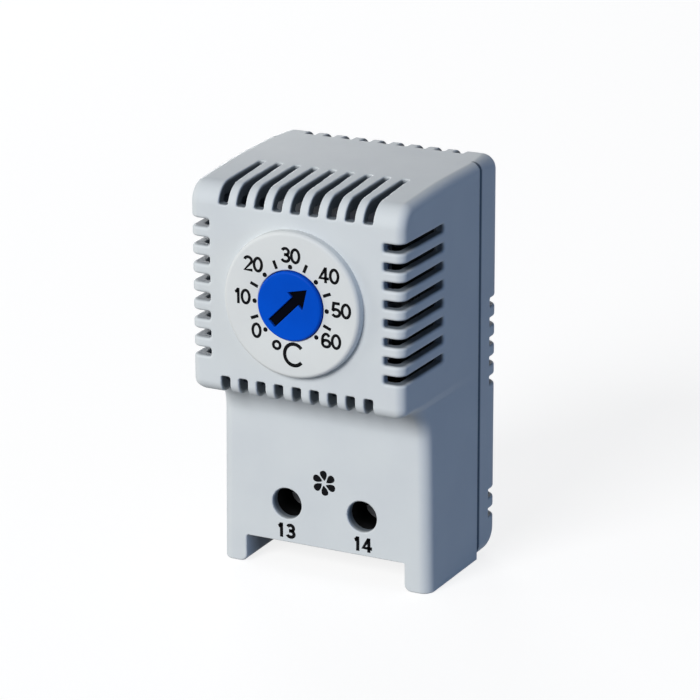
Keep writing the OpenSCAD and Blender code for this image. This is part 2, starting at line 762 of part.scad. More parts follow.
module terminal_carrier() {
    color("dimgray") placed() difference() {
        box([-carrier_w / 2, carrier_y, carrier_foot_z], [carrier_w / 2, inner_back_y - seat_gap, carrier_top_z]);
        both_sides() {
            bar_y(driver_tube_r, carrier_y - over, head_seat_y, terminal_pitch / 2, terminal_z);
            bar_y(screw_r + seat_gap, carrier_y, pocket_y + over, terminal_pitch / 2, terminal_z);
            box([(terminal_pitch - pocket_w) / 2, pocket_y, carrier_foot_z - over],
                [(terminal_pitch + pocket_w) / 2, pocket_back_y, pocket_top_z]);
            box([(terminal_pitch - bar_w) / 2 - seat_gap, bar_y - seat_gap, pocket_top_z - over],
                [(terminal_pitch + bar_w) / 2 + seat_gap, bar_y + bar_t + seat_gap, carrier_top_z + over]);
        }
    }
}

module terminal_cage() {
    difference() {
        box([(terminal_pitch - cage_w) / 2, cage_y, terminal_z - cage_h / 2],
            [(terminal_pitch + cage_w) / 2, cage_y + cage_d, terminal_z + cage_h / 2]);
        box([(terminal_pitch - cage_w) / 2 + cage_t, cage_y + cage_nut_t, terminal_z - cage_h],
            [(terminal_pitch + cage_w) / 2 - cage_t, cage_y + cage_d - cage_t, terminal_z + cage_h]);
        bar_y(screw_r + fit_gap, cage_y - over, cage_y + cage_nut_t + over, terminal_pitch / 2, terminal_z);
    }
}

module terminal_screw() {
    slotted_screw(screw_r, bar_y - seat_gap - head_seat_y + seat_gap / 2, screw_head_r, screw_head_h,
        driver_slot_w, driver_slot_depth, terminal_pitch / 2, head_seat_y - seat_gap / 2, terminal_z);
}

module terminal_cage_13() {
    color("silver") placed() mirror([1, 0, 0]) terminal_cage();
}

module terminal_cage_14() {
    color("silver") placed() terminal_cage();
}

module terminal_screw_13() {
    color("gray") placed() mirror([1, 0, 0]) terminal_screw();
}

module terminal_screw_14() {
    color("gray") placed() terminal_screw();
}

module rail_foot() {
    color("lightgray") placed() difference() {
        union() {
            box([-foot_w / 2, back_y, foot_foot_z], [foot_w / 2, foot_back_y, foot_top_z]);
            box([-foot_w / 2, foot_back_y, rail_top_z + hook_gap], [foot_w / 2, hook_back_y, foot_top_z]);
            box([-foot_w / 2, hook_y, rail_top_z - hook_bite], [foot_w / 2, hook_back_y, foot_top_z]);
        }
        // channel of the latch, and the slot that its neck runs in
        box([-latch_w / 2 - hook_gap, latch_y - hook_gap, foot_foot_z - over],
            [latch_w / 2 + hook_gap, latch_pocket_back_y, latch_pocket_top_z]);
        box([-latch_neck_w / 2 - hook_gap, latch_y, foot_foot_z - over],
            [latch_neck_w / 2 + hook_gap, foot_back_y + over, rail_foot_z]);
        both_sides() bar_y(fix_screw_r + fit_gap, back_y - over, back_y + fix_screw_l + free_gap, frame_screw_x, frame_screw_z);
        both_sides() bar_y(fix_screw_r + fit_gap, back_y - over, back_y + fix_screw_l + free_gap, foot_screw_x, foot_screw_z);
    }
}

module rail_latch() {
    color("dimgray") placed() difference() {
        union() {
            box([-latch_w / 2, latch_y, latch_foot_z], [latch_w / 2, latch_y + latch_t, latch_top_z]);
            box([-latch_neck_w / 2, latch_y, latch_neck_z], [latch_neck_w / 2, hook_y, rail_foot_z - hook_gap]);
            box([-latch_w / 2, foot_back_y + hook_gap, latch_neck_z], [latch_w / 2, hook_back_y, rail_foot_z - hook_gap]);
            box([-latch_w / 2, hook_y, latch_neck_z], [latch_w / 2, hook_back_y, rail_foot_z + hook_bite]);
        }
        box([-latch_slot_w / 2, latch_y - over, latch_foot_z + latch_slot_h],
            [latch_slot_w / 2, latch_y + latch_t + over, latch_foot_z + 2 * latch_slot_h]);
    }
}

module latch_spring() {
    color("silver") placed()
        translate([0, latch_y + latch_t / 2, latch_top_z + seat_gap])
            coil(latch_spring_r, latch_spring_wire_r, latch_spring_turns, latch_pocket_top_z - latch_top_z - 2 * seat_gap);
}

front_cover();
rear_base();
scale_disc();
adjustment_knob();
pointer_inlay();
setting_spindle();
spindle_bush();
switch_frame();
frame_screws();
setting_lever();
lever_pin();
lever_spring();
bimetal_strip();
bimetal_rivets();
push_button();
contact_blade();
blade_rivets();
moving_contact();
fixed_contact();
snap_magnet();
conductor_bar_13();
conductor_bar_14();
terminal_carrier();
terminal_cage_13();
terminal_cage_14();
terminal_screw_13();
terminal_screw_14();
rail_foot();
foot_screws();
rail_latch();
latch_spring();
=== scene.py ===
import math

import bpy
import numpy as np
from mathutils import Matrix, Vector


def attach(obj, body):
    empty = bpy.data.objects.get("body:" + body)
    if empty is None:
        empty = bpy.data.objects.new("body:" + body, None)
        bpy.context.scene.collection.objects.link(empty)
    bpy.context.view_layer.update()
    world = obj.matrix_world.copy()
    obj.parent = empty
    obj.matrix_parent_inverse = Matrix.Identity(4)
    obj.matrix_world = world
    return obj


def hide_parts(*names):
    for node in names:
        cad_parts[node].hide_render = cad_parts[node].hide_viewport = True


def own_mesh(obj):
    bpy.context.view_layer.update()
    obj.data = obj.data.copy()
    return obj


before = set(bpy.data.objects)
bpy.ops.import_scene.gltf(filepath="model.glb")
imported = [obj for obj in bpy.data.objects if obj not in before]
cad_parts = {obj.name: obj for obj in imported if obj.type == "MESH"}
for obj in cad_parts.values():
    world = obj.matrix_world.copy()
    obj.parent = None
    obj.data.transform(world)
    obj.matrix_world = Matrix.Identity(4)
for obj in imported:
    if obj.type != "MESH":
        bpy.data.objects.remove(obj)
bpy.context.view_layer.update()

# Sizes of the housing and dial in millimetres, measured back from the dial face and up from the feet.
MM = 0.001
MIDDLE = 18.65
HALF_FRONT, HALF_SEAM = 16.65, 17.1
TOP, SEAM, BACK = 60.0, 24.0, 30.6
HEAD_Z, STEP, WAIST, ROOF_FALL = 28.6, 8.2, 0.45, 0.95
WALL = 1.7
HEAD_CORNER_R, FACE_CORNER_R = 1.4, 1.8
TOP_R, HEAD_EDGE_R, UNDER_R = 3.0, 1.8, 5.2
BACK_R, ROOF_CORNER_R, HEEL_R = 2.2, 1.45, 3.5
NOTCH_HALF, NOTCH_H = 12.7, 4.2
DIAL_Z, DISC_FOOT_R, DISC_T = 43.7, 10.58, 1.4
KNOB_R, KNOB_PROUD = 5.0, 1.9
ARROW_L, ARROW_SHAFT, ARROW_HEAD_W, ARROW_HEAD_L = 7.8, 1.4, 3.2, 2.6
DRIVER_X, DRIVER_Z, DRIVER_R = 6.05, 10.2, 2.35
GRIP_DEPTH, GRIP_REACH, GRIP_HALF, GRIP_PITCH = 1.65, 3.1, 0.65, 2.96
TRAY_WALL = 0.8
TOP_SLOT_HALF, TOP_SLOT_TAPER, TOP_SLOT_PITCH = 0.74, 0.24, 2.81
TOP_SLOT_DROP, TOP_SLOT_BACK = 3.6, 12.0
UNDER_SLOT_HALF, UNDER_SLOT_RISE, UNDER_SLOT_BACK = 0.72, 2.7, 5.6
SIDE_SLOT_HALF, SIDE_SLOT_PITCH, SIDE_SLOT_LIFT = 0.6, 2.7, 0.27
SIDE_SLOT_FACE, SIDE_SLOT_BACK = 3.1, 12.6
SEAM_HALF_GAP, SEAM_FROM = 0.28, 15.5
DIAL_BORE_R = 6.15
KNOB_FLANGE_R, KNOB_BOSS_R, SOCKET_HALF, ARROW_SUNK = 6.8, 3.2, 1.5, 0.9

# The rail clip's sizes: a 35 mm rail's edges, the foot with the fixed hook, and the sprung latch.
RAIL_TOP, RAIL_FOOT, CLIP_GAP = 48.5, 13.5, 0.2
FOOT_HALF, FOOT_LOW, FOOT_HIGH, FOOT_BACK = 10.0, 8.0, 53.0, 35.1
HOOK_Y, HOOK_BACK, HOOK_BITE = 36.4, 39.2, 2.2
LATCH_HALF, LATCH_Y, LATCH_T, LATCH_LOW, LATCH_HIGH = 5.0, 31.8, 1.8, 4.0, 21.0
NECK_HALF, NECK_LOW, POCKET_HIGH = 3.0, 9.0, 29.0


def smooth_max(a, b, r):
    """The larger of two distances, with the edge between them rounded to radius r."""
    return np.minimum(-r, np.maximum(a, b)) + np.hypot(np.maximum(r + a, 0), np.maximum(r + b, 0))


def smooth_min(a, b, r):
    """The smaller of two distances, with the inner corner between them filled to radius r."""
    return -smooth_max(-a, -b, r)


def box_field(p, low, high, r=0.0):
    """Distance to a box with rounded edges. A bound of None leaves that side open."""
    outside = []
    for axis in range(3):
        parts = []
        if low[axis] is not None:
            parts.append(low[axis] - p[axis])
        if high[axis] is not None:
            parts.append(p[axis] - high[axis])
        if parts:
            outside.append(np.maximum(parts[0], parts[1]) if len(parts) == 2 else parts[0])
    d = outside[0]
    for other in outside[1:]:
        d = smooth_max(d, other, r) if r else np.maximum(d, other)
    return d


def rows(v, n, pitch, centre=0.0):
    """Distance from v to the nearest of n evenly spaced lines."""
    k = np.clip(np.round((v - centre) / pitch + (n - 1) / 2), 0, n - 1)
    return v - centre - (k - (n - 1) / 2) * pitch


def sample(field, low, high, step):
    """Samples a field on a grid, in slabs so that it needs little memory."""
    axes = [np.arange(lo, hi + step, step) for lo, hi in zip(low, high)]
    out = np.empty([len(a) for a in axes], np.float32)
    for i in range(0, len(axes[0]), 24):
        grid = np.meshgrid(axes[0][i:i + 24], axes[1], axes[2], indexing="ij")
        out[i:i + 24] = field(grid)
    return out, axes


def gradient(field, points, h=0.02):
    """The field's direction of steepest rise at each point."""
    out = np.empty_like(points)
    for axis in range(3):
        a, b = points.copy(), points.copy()
        a[:, axis] += h
        b[:, axis] -= h
        out[:, axis] = field(a.T) - field(b.T)
    length = np.linalg.norm(out, axis=1, keepdims=True)
    return out / np.maximum(length, 1e-9)


def surface_net(values, axes):
    """Turns a sampled field into a closed quad mesh."""
    inside = values < 0
    corners = [(i, j, k) for i in (0, 1) for j in (0, 1) for k in (0, 1)]
    shape = tuple(n - 1 for n in values.shape)
    count = np.zeros(shape, np.uint8)
    for i, j, k in corners:
        count += inside[i:i + shape[0], j:j + shape[1], k:k + shape[2]]
    cells = np.argwhere((count > 0) & (count < 8))
    index = np.full(shape, -1, np.int64)
    index[tuple(cells.T)] = np.arange(len(cells))
    total = np.zeros((len(cells), 3))
    hits = np.zeros(len(cells))
    for a in corners:
        for axis in range(3):
            if a[axis]:
                continue
            b = list(a)
            b[axis] = 1
            va = values[tuple((cells + a).T)].astype(float)
            vb = values[tuple((cells + b).T)].astype(float)
            cross = (va < 0) != (vb < 0)
            t = np.where(cross, va / np.where(cross, va - vb, 1), 0)
            point = np.tile(np.array(a, float), (len(cells), 1))
            point[:, axis] += t
            total[cross] += point[cross]
            hits += cross
    step = axes[0][1] - axes[0][0]
    start = np.array([a[0] for a in axes])
    verts = start + (cells + total / hits[:, None]) * step
    quads = []
    for axis in range(3):
        u, v = (axis + 1) % 3, (axis + 2) % 3
        low = [slice(None)] * 3
        high = [slice(None)] * 3
        low[axis], high[axis] = slice(0, -1), slice(1, None)
        change = inside[tuple(low)] != inside[tuple(high)]
        at = np.argwhere(change)
        for side in (u, v):
            at = at[(at[:, side] > 0) & (at[:, side] < values.shape[side] - 1)]
        ring = []
        for du, dv in ((-1, -1), (0, -1), (0, 0), (-1, 0)):
            cell = at.copy()
            cell[:, u] += du
            cell[:, v] += dv
            ring.append(index[tuple(cell.T)])
        quad = np.stack(ring, 1)
        flip = ~inside[tuple(at.T)]
        quad[flip] = quad[flip][:, ::-1]
        quads.append(quad)
    return verts, np.concatenate(quads)


def new_object(name, verts, faces):
    """Makes a mesh object from points in the model's millimetres."""
    mesh = bpy.data.meshes.new(name)
    points = np.array(verts, float)
    points[:, 1] -= MIDDLE
    mesh.from_pydata((points * MM).tolist(), [], [list(map(int, f)) for f in faces])
    mesh.update()
    obj = bpy.data.objects.new(name, mesh)
    bpy.context.scene.collection.objects.link(obj)
    return obj


def apply_modifier(obj, modifier):
    """Makes a modifier's result the object's own mesh."""
    bpy.context.view_layer.objects.active = obj
    for other in bpy.context.selected_objects:
        other.select_set(False)
    obj.select_set(True)
    bpy.ops.object.modifier_apply(modifier=modifier.name)


THINNED_SHARE = 0.25


def from_field(name, field, low, high, step, shading=None):
    """Meshes a field, pulls the points onto its surface and thins out the flat stretches."""
    values, axes = sample(field, low, high, step)
    verts, faces = surface_net(values, axes)
    for _ in range(2):
        move = field(verts.T)[:, None] * gradient(field, verts)
        verts = verts - np.clip(move, -0.6 * step, 0.6 * step)
    obj = new_object(name, verts, faces)
    thin = obj.modifiers.new("thin", "DECIMATE")
    thin.ratio = THINNED_SHARE
    thin.use_collapse_triangulate = True
    apply_modifier(obj, thin)
    smooth_by_field(obj, shading or field)
    return obj


def model_points(obj):
    """The mesh's points in the fields' millimetres."""
    co = np.empty(len(obj.data.vertices) * 3)
    obj.data.vertices.foreach_get("co", co)
    points = co.reshape(-1, 3) / MM
    points[:, 1] += MIDDLE
    return points


def smooth_by_field(obj, field):
    """Shades a mesh with the field's own directions, so that flats stay flat and rounded edges round."""
    normals = gradient(field, model_points(obj))
    obj.data.shade_smooth()
    obj.data.normals_split_custom_set_from_vertices(normals.tolist())


def mark_shade_depth(obj, field):
    """Stores how deep each point lies under the outer form, in millimetres, for the plastic's painted shade.
    """
    depth = np.maximum(-field(model_points(obj).T), 0)
    mark = obj.data.attributes.new("depth", "FLOAT", "POINT")
    mark.data.foreach_set("value", depth.astype(np.float32))


def half_width(y):
    """Half the cover's width, which grows from the front to the seam."""
    return HALF_FRONT + (HALF_SEAM - HALF_FRONT) * y / SEAM


def waist(y, z):
    """How much narrower each side is under the head: most by the head's lower edge, nothing at the seam."""
    under_head = np.clip(z / HEAD_Z, 0, 1) * np.clip((HEAD_Z + 0.9 - z) / 1.2, 0, 1)
    return WAIST * under_head * np.clip((SEAM - y) / (SEAM - STEP), 0, 1)


def cover_outline(p, inset):
    """The cover's closed form, drawn inwards by inset."""
    x, y, z = p
    head_front = smooth_max(inset - y, HEAD_Z + inset - z, max(HEAD_EDGE_R - inset, 0.4))
    profile = smooth_min(head_front, STEP + inset - y, UNDER_R)
    roof = TOP - ROOF_FALL * np.clip(1 - y / 16, 0, 1) ** 1.5
    profile = smooth_max(profile, z - (roof - inset), max(TOP_R - inset, 0.5))
    side = np.abs(x) - (half_width(y) - waist(y, z) - inset)
    head_share = np.clip((z - HEAD_Z + 1) / 2, 0, 1)
    corner = FACE_CORNER_R + (HEAD_CORNER_R - FACE_CORNER_R) * head_share
    return smooth_max(profile, side, np.maximum(corner - inset, 0.5))


def vent_slots(p):
    """Distances to the nearest slot over the top edge or under the head, and to the nearest side slot."""
    x, y, z = p
    near = np.abs(rows(x, 9, TOP_SLOT_PITCH))
    half = TOP_SLOT_HALF - TOP_SLOT_TAPER * np.clip((y - 3) / 8, 0, 1)
    top = smooth_max(smooth_max(near - half, TOP - TOP_SLOT_DROP - z, 0.3), y - TOP_SLOT_BACK, 0.5)
    under = smooth_max(near - UNDER_SLOT_HALF, z - (HEAD_Z + UNDER_SLOT_RISE), 0.3)
    under = smooth_max(under, HEAD_Z - 3 - z, 0.2)
    under = smooth_max(under, y - UNDER_SLOT_BACK, 0.5)
    level = np.abs(rows(z, 8, SIDE_SLOT_PITCH, DIAL_Z + SIDE_SLOT_LIFT))
    side = smooth_max(level - SIDE_SLOT_HALF, HALF_FRONT - SIDE_SLOT_FACE - np.abs(x), 0.3)
    side = smooth_max(side, y - SIDE_SLOT_BACK, 0.5)
    return np.minimum(top, under), side


def cover_field(p, seam=True):
    """The front cover: a shell open at the back, with its slots, driver holes, cable gap and feet."""
    x, y, z = p
    outer = cover_outline(p, 0.0)
    inner_side = np.where(z < NOTCH_H, NOTCH_HALF - np.abs(x), -9.0)
    outer = smooth_max(outer, smooth_max(-z, inner_side, 1.2), 0.3)
    if seam:
        outer = np.maximum(outer, y - (SEAM - seam_gap(x)))
    inner = cover_outline(p, WALL)
    inner = np.maximum(inner, NOTCH_H - z)
    inner = np.maximum(inner, z - (TOP - 2.8))
    shell = np.maximum(outer, -inner)
    cuts, side_cuts = vent_slots(p)
    dial = np.hypot(x, z - DIAL_Z) - DIAL_BORE_R
    cuts = np.minimum(cuts, np.maximum(dial, y - 6))
    driver = np.hypot(np.abs(x) - DRIVER_X, z - DRIVER_Z) - DRIVER_R
    cuts = np.minimum(cuts, np.maximum(driver, np.abs(y - STEP - 1) - 3))
    gap = smooth_max(np.abs(x) - NOTCH_HALF, z - NOTCH_H, 0.5)
    cuts = np.minimum(cuts, gap)
    return smooth_max(smooth_max(shell, -side_cuts, 0.42), -cuts, 0.16)


def seam_gap(x):
    """Half the seam's width: closed over the top and open as a fine line down the sides."""
    return SEAM_HALF_GAP * np.clip(np.abs(x) - SEAM_FROM, 0, 1)


def base_outline(p):
    """The base's closed form, with its rounded rear edges."""
    x, y, z = p
    outer = smooth_max(y - BACK, z - TOP, BACK_R)
    outer = smooth_max(outer, -z, HEEL_R) * (z < 20) + outer * (z >= 20)
    by_seam = np.clip((z - TOP + 8) / 4, 0, 1) * np.clip((SEAM + 5 - y) / 4.5, 0, 1)
    return smooth_max(outer, np.abs(x) - HALF_SEAM, BACK_R + (ROOF_CORNER_R - BACK_R) * by_seam)


def base_field(p, seam=True):
    """The rear base: a shallow tray with rounded rear edges and grip notches."""
    x, y, z = p
    side = np.abs(x) - HALF_SEAM
    outer = base_outline(p)
    if seam:
        outer = np.maximum(outer, SEAM + seam_gap(x) - y)
    inner = smooth_max(y - (BACK - GRIP_REACH - TRAY_WALL), z - (TOP - GRIP_DEPTH - TRAY_WALL), 0.5)
    inner = smooth_max(inner, WALL - z, 1.5)
    inner = smooth_max(inner, side + GRIP_DEPTH + TRAY_WALL, 0.5)
    shell = np.maximum(outer, -inner)
    across = np.abs(rows(x, 9, GRIP_PITCH)) - GRIP_HALF
    top = np.maximum(across, np.maximum(BACK - GRIP_REACH - y, TOP - GRIP_DEPTH - z))
    up = np.abs(rows(z, 5, GRIP_PITCH, 32.4)) - GRIP_HALF
    heel = np.abs(rows(z, 2, GRIP_PITCH, 7.5)) - GRIP_HALF
    deep = np.maximum(BACK - GRIP_REACH - y, HALF_SEAM - GRIP_DEPTH - np.abs(x))
    sides = np.maximum(np.minimum(up, heel), deep)
    return smooth_max(shell, -np.minimum(top, sides), 0.3)


def seam_shade_weight(x, y):
    """Makes the faces inside the seam count as deep, so that painted shade draws a dark line down the sides.
    """
    return np.where((np.abs(y - SEAM) < 0.35) & (np.abs(x) > SEAM_FROM), 7.0, 1.0)


def cover_shade_depth(p):
    """The cover's outer form for its depth marks, which set its painted shade, with wide holes and the cable
    gap as shallow.
    """
    x, y, z = p
    by_driver = np.hypot(np.abs(x) - DRIVER_X, z - DRIVER_Z) < DRIVER_R + 0.5
    weight = np.where(by_driver, 0.6, seam_shade_weight(x, y))
    return cover_outline(p, 0.0) * np.where(z < NOTCH_H + 0.3, 0.13, weight)


def make_housing():
    """Makes the two shells in place of the cover's and the base's solids."""
    step = 0.2
    cover = from_field("cover_shell", cover_field, (-17.9, -0.8, -0.8), (17.9, 24.8, 60.8), step,
                       shading=lambda p: cover_field(p, False))
    base = from_field("base_shell", base_field, (-17.9, 23.2, -0.8), (17.9, 31.4, 60.8), step,
                      shading=lambda p: base_field(p, False))
    # Depth marks under the outer form, which the housing's material turns into painted shade in slots, holes
    # and the seam.
    mark_shade_depth(cover, cover_shade_depth)
    mark_shade_depth(base, lambda p: base_outline(p) * seam_shade_weight(p[0], p[1]))
    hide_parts("front_cover")
    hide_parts("rear_base")
    for piece, slot in ((cover, "front_cover"), (base, "rear_base")):
        piece.data.materials.append(material["housing"])
        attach(piece, "housing")


def lead_in(y, height, edge, slope=0.9):
    """A sloping cut across a hook's rear lip, which lets the rail push it aside."""
    return ((y - HOOK_BACK) + (height - edge) * slope) / math.hypot(1, slope)


def foot_field(p):
    """The clip's foot: a cored plate with the fixed hook along its top and a channel for the latch."""
    x, y, z = p
    r = 0.5
    plate = box_field(p, (-FOOT_HALF, BACK, FOOT_LOW), (FOOT_HALF, FOOT_BACK, FOOT_HIGH), r)
    arm = box_field(p, (-FOOT_HALF, BACK + 2, RAIL_TOP + CLIP_GAP), (FOOT_HALF, HOOK_BACK, FOOT_HIGH), r)
    lip = box_field(p, (-FOOT_HALF, HOOK_Y, RAIL_TOP - HOOK_BITE), (FOOT_HALF, HOOK_BACK, FOOT_HIGH), r)
    hook = smooth_max(smooth_min(arm, lip, 0.3), lead_in(y, RAIL_TOP - z, 0.2), 0.3)
    hook = smooth_max(hook, y - HOOK_BACK + 0.8 - (FOOT_HIGH - z) * 0.5, 0.6)
    body = smooth_max(smooth_min(plate, hook, 0.3), y - HOOK_BACK, 0.2)
    channel = box_field(p, (-LATCH_HALF - CLIP_GAP, LATCH_Y - CLIP_GAP, None),
                        (LATCH_HALF + CLIP_GAP, LATCH_Y + LATCH_T + CLIP_GAP, POCKET_HIGH))
    neck = box_field(p, (-NECK_HALF - CLIP_GAP, LATCH_Y, None), (NECK_HALF + CLIP_GAP, None, RAIL_FOOT), 0.4)
    across = np.abs(rows(x, 3, 5.9))
    along = np.abs(rows(z, 2, 9.2, 38.0))
    cores = smooth_max(smooth_max(across - 2.45, along - 4.1, 0.5), FOOT_BACK - 1.6 - y, 0.3)
    pulls = smooth_max(np.abs(np.abs(x) - 7.6) - 1.3, np.abs(z - 20.8) - 8.0, 0.6)
    pulls = smooth_max(pulls, FOOT_BACK - 1.2 - y, 0.3)
    saddles = smooth_max(np.abs(rows(x, 4, 4.9)) - 1.7, FOOT_HIGH - 1.0 - z, 0.3)
    saddles = smooth_max(saddles, np.abs(y - 35.6) - 2.1, 0.4)
    cuts = np.minimum(np.minimum(channel, neck), np.minimum(np.minimum(cores, pulls), saddles))
    return smooth_max(body, -cuts, 0.2)


def latch_field(p):
    """The sprung latch: a slide with a pull slot, and the hook that bites under the rail."""
    x, y, z = p
    r = 0.35
    slide = box_field(p, (-LATCH_HALF, LATCH_Y, LATCH_LOW), (LATCH_HALF, LATCH_Y + LATCH_T, LATCH_HIGH), r)
    neck = box_field(p, (-NECK_HALF, LATCH_Y, NECK_LOW), (NECK_HALF, HOOK_Y + 0.5, RAIL_FOOT - CLIP_GAP), 0.2)
    heel = box_field(p, (-LATCH_HALF, FOOT_BACK + CLIP_GAP, NECK_LOW),
                     (LATCH_HALF, HOOK_BACK, RAIL_FOOT - CLIP_GAP), r)
    tooth = box_field(p, (-LATCH_HALF, HOOK_Y, NECK_LOW), (LATCH_HALF, HOOK_BACK, RAIL_FOOT + HOOK_BITE), r)
    hook = smooth_max(smooth_min(heel, tooth, 0.3), lead_in(y, z - RAIL_FOOT, 0.2), 0.3)
    body = smooth_min(np.minimum(slide, neck), hook, 0.2)
    body = smooth_max(body, y - HOOK_BACK, 0.2)
    ribs = smooth_max(np.abs(rows(z, 3, 1.15, 11.1)) - 0.3, HOOK_BACK - 0.35 - y, 0.1)
    ribs = smooth_max(ribs, np.abs(x) - LATCH_HALF + 0.8, 0.2)
    slot = smooth_max(np.abs(x) - 2, np.abs(z - 6.25) - 0.75, 0.4)
    return smooth_max(body, -np.minimum(slot, ribs), 0.15)


def make_clip():
    """Makes the clip's foot and its latch."""
    step = 0.18
    foot = from_field("clip_foot", foot_field, (-10.6, 30.0, 7.4), (10.6, 39.8, 53.6), step)
    latch = from_field("clip_latch", latch_field, (-5.6, 31.2, 3.4), (5.6, 39.8, 21.6), step * 0.7)
    pieces = ((foot, "rail_foot", "clip", "housing"), (latch, "rail_latch", "black", "latch"))
    for piece, node, look, body in pieces:
        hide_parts(node)
        piece.data.materials.append(material[look])
        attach(piece, body)


# Scales of the plastics' mottling and of their fine grain.
CLOUD_SCALE, GRAIN_SCALE = 110, 2600.0


def node_material(name):
    """A new material with its nodes, its links and its shader."""
    made = bpy.data.materials.new(name)
    made.use_nodes = True
    nodes = made.node_tree.nodes
    shader = nodes["Principled BSDF"]
    return made, nodes, made.node_tree.links, shader


def moulded(name, color, darker, roughness, grain=0.02, specular=0.5, inside=None):
    """A moulded plastic: faint mottling of its colour, fine matt grain and uneven sheen, and, where an inside
    colour is given, painted shade that darkens it with depth under the outer form.
    """
    made, nodes, links, shader = node_material(name)
    place = nodes.new("ShaderNodeTexCoord")
    cloud = nodes.new("ShaderNodeTexNoise")
    cloud.inputs["Scale"].default_value = CLOUD_SCALE
    cloud.inputs["Detail"].default_value = 4
    links.new(place.outputs["Object"], cloud.inputs["Vector"])
    ramp = nodes.new("ShaderNodeValToRGB")
    ramp.color_ramp.elements[0].position = 0.35
    ramp.color_ramp.elements[0].color = (*darker, 1)
    ramp.color_ramp.elements[1].position = 0.65
    ramp.color_ramp.elements[1].color = (*color, 1)
    links.new(cloud.outputs["Fac"], ramp.inputs["Fac"])
    surface = ramp.outputs["Color"]
    # The inside colour is painted shade, mixed in by the depth marks.
    if inside:
        surface = painted_deep_shade(nodes, links, surface, inside)
    links.new(surface, shader.inputs["Base Color"])
    fine = nodes.new("ShaderNodeTexNoise")
    fine.inputs["Scale"].default_value = GRAIN_SCALE
    fine.inputs["Detail"].default_value = 2
    links.new(place.outputs["Object"], fine.inputs["Vector"])
    spread = nodes.new("ShaderNodeMapRange")
    spread.inputs["To Min"].default_value = roughness - 0.06
    spread.inputs["To Max"].default_value = roughness + 0.06
    links.new(fine.outputs["Fac"], spread.inputs["Value"])
    links.new(spread.outputs["Result"], shader.inputs["Roughness"])
    bump = nodes.new("ShaderNodeBump")
    bump.inputs["Strength"].default_value = 0.25
    bump.inputs["Distance"].default_value = grain * MM
    links.new(fine.outputs["Fac"], bump.inputs["Height"])
    links.new(bump.outputs["Normal"], shader.inputs["Normal"])
    shader.inputs["Specular IOR Level"].default_value = specular
    return made


def painted_deep_shade(nodes, links, surface, inside):
    """Paints shade into a shell's colour where a slot or hole cuts down into it, darker with depth."""
    depth = nodes.new("ShaderNodeAttribute")
    depth.attribute_name = "depth"
    share = nodes.new("ShaderNodeMapRange")
    share.inputs["From Min"].default_value = 0.1
    share.inputs["From Max"].default_value = 0.55
    links.new(depth.outputs["Fac"], share.inputs["Value"])
    mix = nodes.new("ShaderNodeMix")
    mix.data_type = "RGBA"
    links.new(share.outputs["Result"], mix.inputs["Factor"])
    links.new(surface, mix.inputs["A"])
    mix.inputs["B"].default_value = (*inside, 1)
    return mix.outputs["Result"]


def metal(name, color, darker, roughness, stretch=(1.0, 1.0, 12.0)):
    """A bright metal with drawn streaks across its sheen."""
    made, nodes, links, shader = node_material(name)
    place = nodes.new("ShaderNodeTexCoord")
    mapping = nodes.new("ShaderNodeMapping")
    mapping.inputs["Scale"].default_value = stretch
    links.new(place.outputs["Object"], mapping.inputs["Vector"])
    streak = nodes.new("ShaderNodeTexNoise")
    streak.inputs["Scale"].default_value = 500
    streak.inputs["Detail"].default_value = 3
    links.new(mapping.outputs["Vector"], streak.inputs["Vector"])
    ramp = nodes.new("ShaderNodeValToRGB")
    ramp.color_ramp.elements[0].color = (*darker, 1)
    ramp.color_ramp.elements[1].color = (*color, 1)
    links.new(streak.outputs["Fac"], ramp.inputs["Fac"])
    links.new(ramp.outputs["Color"], shader.inputs["Base Color"])
    spread = nodes.new("ShaderNodeMapRange")
    spread.inputs["To Min"].default_value = roughness - 0.08
    spread.inputs["To Max"].default_value = roughness + 0.1
    links.new(streak.outputs["Fac"], spread.inputs["Value"])
    links.new(spread.outputs["Result"], shader.inputs["Roughness"])
    bump = nodes.new("ShaderNodeBump")
    bump.inputs["Strength"].default_value = 0.2
    bump.inputs["Distance"].default_value = 0.01 * MM
    links.new(streak.outputs["Fac"], bump.inputs["Height"])
    links.new(bump.outputs["Normal"], shader.inputs["Normal"])
    shader.inputs["Metallic"].default_value = 1.0
    return made


def shade(value):
    """A screen colour, 0 to 255, as the linear value that a shader takes."""
    c = value / 255
    return c / 12.92 if c <= 0.04045 else ((c + 0.055) / 1.055) ** 2.4


def rgb(r, g, b):
    """A screen colour as the three linear values that a shader takes."""
    return (shade(r), shade(g), shade(b))


